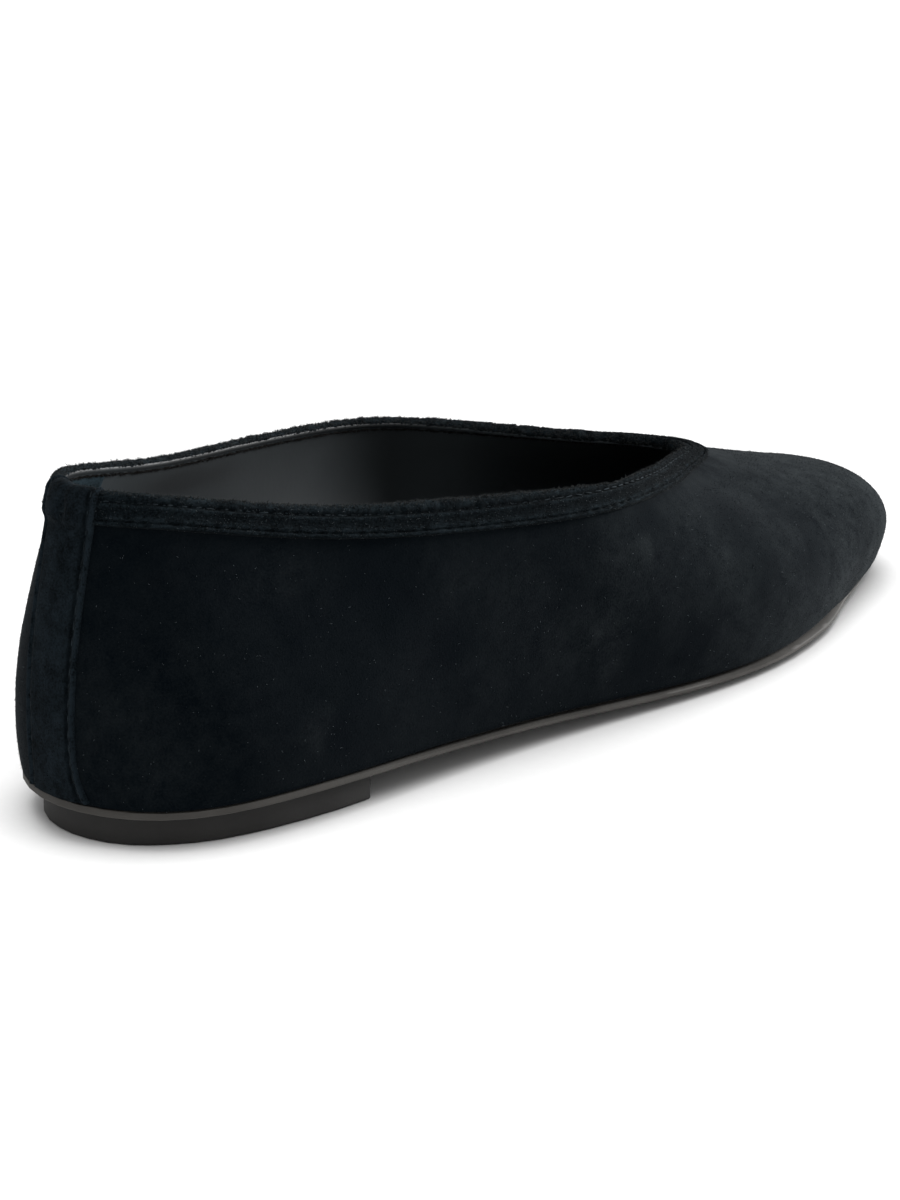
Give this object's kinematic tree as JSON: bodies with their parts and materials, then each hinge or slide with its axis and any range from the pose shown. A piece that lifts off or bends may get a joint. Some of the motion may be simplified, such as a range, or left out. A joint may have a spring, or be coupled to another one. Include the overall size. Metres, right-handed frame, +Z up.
{
  "type": "ballet flat",
  "caption": "Right-foot slip-on ballet flat: hollow lasted suede upper with bound topline and back strip, on a thin sole with a low heel block.",
  "frame": {"origin": "centre of the bounding box on the floor, under the shoe", "axes": "+X from heel to toe, +Y towards the inner side of the foot, +Z up from the floor"},
  "size_m": [0.2508, 0.0766, 0.0676],
  "materials": {
    "sole_rubber": "matt grey-brown sole edge",
    "heel_rubber": "matt dark brown-grey rubber",
    "suede": "napped suede, dark navy, near black",
    "insole_leather": "smooth black sock leather",
    "binding_suede": "napped suede strip",
    "backstay_suede": "napped suede strip"
  },
  "bodies": {
    "root": {"outsole": "sole_rubber", "heel": "heel_rubber", "upper": "suede", "insole": "insole_leather", "topline_binding": "binding_suede", "backstay": "backstay_suede"}
  },
  "joints": []
}
